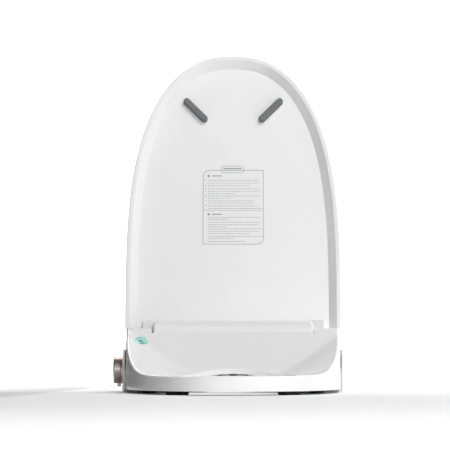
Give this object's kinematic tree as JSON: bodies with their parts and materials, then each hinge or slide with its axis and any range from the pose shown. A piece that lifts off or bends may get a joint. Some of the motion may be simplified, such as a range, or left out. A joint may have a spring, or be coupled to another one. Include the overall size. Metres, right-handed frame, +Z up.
{
  "type": "electric bidet seat",
  "caption": "Heated bidet toilet seat with an egg-shaped lid, a contoured seat ring and a rear body holding washing nozzles, dryer, deodoriser and a side control knob.",
  "frame": {"origin": "midway between the two fixing bolts, on the rim plane of the toilet bowl", "axes": "+Z up, -Y towards the front of the seat, +X to the right of a person who faces the open seat"},
  "size_m": [0.3905, 0.5901, 0.5963],
  "materials": {
    "white_shell": "gloss",
    "white_inner": "satin",
    "grey_rubber": "matte",
    "black_rubber": "matte",
    "label_white": "satin",
    "mint": "satin",
    "steel": "satin",
    "dark_plastic": "satin",
    "grey_plastic": "satin",
    "rose_gold": "polished",
    "knob_grey": "satin",
    "brass": "satin",
    "board": "satin",
    "foil": "satin",
    "carbon": "matte",
    "acetal": "satin",
    "hose": "satin"
  },
  "bodies": {
    "rear_body": {"base_casing": "white_inner", "body_cover": "white_shell", "casing_screws": "steel", "control_board": "board", "cord_gland": "black_rubber", "deodoriser_fan_housing": "grey_plastic", "deodoriser_motor": "dark_plastic", "drain_plug": "grey_plastic", "dryer_duct": "grey_plastic", "dryer_fan_housing": "grey_plastic", "dryer_heater": "steel", "dryer_motor": "dark_plastic", "flow_sensor": "dark_plastic", "front_wash_motor": "steel", "inlet_strainer": "steel", "inlet_valve": "grey_plastic", "knob_bezel": "rose_gold", "knob_encoder": "dark_plastic", "lid_damper": "dark_plastic", "mounting_plate": "grey_plastic", "nozzle_cradle": "grey_plastic", "nozzle_port_frame": "white_inner", "power_module": "dark_plastic", "rear_wash_motor": "steel", "seat_damper": "dark_plastic", "side_panel_left": "white_shell", "side_panel_right": "white_shell", "water_distributor": "grey_plastic", "water_heater": "grey_plastic", "water_hoses": "hose", "water_inlet": "brass"},
    "lid": {"lid_arm_bush": "acetal", "lid_arm_left": "white_inner", "lid_arm_right": "white_inner", "lid_buffer_left": "grey_rubber", "lid_buffer_right": "grey_rubber", "lid_hinge_shaft": "steel", "lid_inner_panel": "white_shell", "lid_label": "label_white", "lid_outer_shell": "white_shell"},
    "seat": {"seat_bottom_shell": "white_inner", "seat_ear_bush": "acetal", "seat_feet": "black_rubber", "seat_heater_foil": "foil", "seat_hinge_ears": "white_shell", "seat_hinge_shaft": "steel", "seat_mark": "mint", "seat_top_shell": "white_shell"},
    "knob": {"knob_grip": "knob_grey"},
    "knob_cap": {"knob_push_cap": "knob_grey"},
    "rear_nozzle": {"rear_wash_nozzle": "acetal"},
    "front_nozzle": {"front_wash_nozzle": "acetal"},
    "rear_pinion": {"rear_wash_pinion": "acetal"},
    "front_pinion": {"front_wash_pinion": "acetal"},
    "dryer_fan": {"dryer_impeller": "dark_plastic"},
    "deodoriser_fan": {"deodoriser_impeller": "dark_plastic"},
    "air_flap": {"dryer_flap": "white_inner"},
    "cassette": {"filter_cassette": "white_inner", "carbon_filter": "carbon"},
    "release": {"release_button": "white_inner"}
  },
  "joints": [
    {"name": "lid_hinge", "type": "hinge", "parent": "rear_body", "child": "lid", "pos_m": [0, 0.008, 0.096], "axis": [-1, 0, 0], "range_deg": [-109.4, 0]},
    {"name": "seat_hinge", "type": "hinge", "parent": "rear_body", "child": "seat", "pos_m": [0, 0.008, 0.096], "axis": [-1, 0, 0], "range_deg": [0, 97]},
    {"name": "knob_turn", "type": "hinge", "parent": "rear_body", "child": "knob", "pos_m": [-0.186, -0.054, 0.037], "axis": [-1, 0, 0], "range_deg": [-60, 60]},
    {"name": "knob_push", "type": "slide", "parent": "knob", "child": "knob_cap", "axis": [1, 0, 0], "range_m": [0, 0.0015], "stiffness_N_per_m": 300},
    {"name": "rear_nozzle_slide", "type": "slide", "parent": "rear_body", "child": "rear_nozzle", "axis": [0, -0.8829, -0.4695], "range_m": [0, 0.06]},
    {"name": "front_nozzle_slide", "type": "slide", "parent": "rear_body", "child": "front_nozzle", "axis": [0, -0.8829, -0.4695], "range_m": [0, 0.06]},
    {"name": "rear_pinion_turn", "type": "hinge", "parent": "rear_body", "child": "rear_pinion", "pos_m": [-0.028, -0.04815, 0.04716], "axis": [0, 0.4695, -0.8829], "range_deg": [-1, 580]},
    {"name": "front_pinion_turn", "type": "hinge", "parent": "rear_body", "child": "front_pinion", "pos_m": [0.028, -0.04815, 0.04716], "axis": [0, -0.4695, 0.8829], "range_deg": [-1, 580]},
    {"name": "dryer_fan_spin", "type": "hinge", "parent": "rear_body", "child": "dryer_fan", "pos_m": [0.066, 0.014, 0.026], "axis": [0, 0, 1], "continuous": true},
    {"name": "deodoriser_fan_spin", "type": "hinge", "parent": "rear_body", "child": "deodoriser_fan", "pos_m": [0.11, 0.018, 0.024], "axis": [1, 0, 0], "continuous": true},
    {"name": "air_flap_hinge", "type": "hinge", "parent": "rear_body", "child": "air_flap", "pos_m": [0.072, -0.0906, 0.0318], "axis": [-1, 0, 0], "range_deg": [0, 34]},
    {"name": "cassette_slide", "type": "slide", "parent": "rear_body", "child": "cassette", "axis": [1, 0, 0], "range_m": [0, 0.065]},
    {"name": "release_push", "type": "slide", "parent": "rear_body", "child": "release", "axis": [-1, 0, 0], "range_m": [0, 0.004], "stiffness_N_per_m": 400}
  ],
  "couplings": [
    {"joint": "rear_pinion_turn", "follows": "rear_nozzle_slide", "rad_per_m": 166.67},
    {"joint": "front_pinion_turn", "follows": "front_nozzle_slide", "rad_per_m": 166.67}
  ]
}
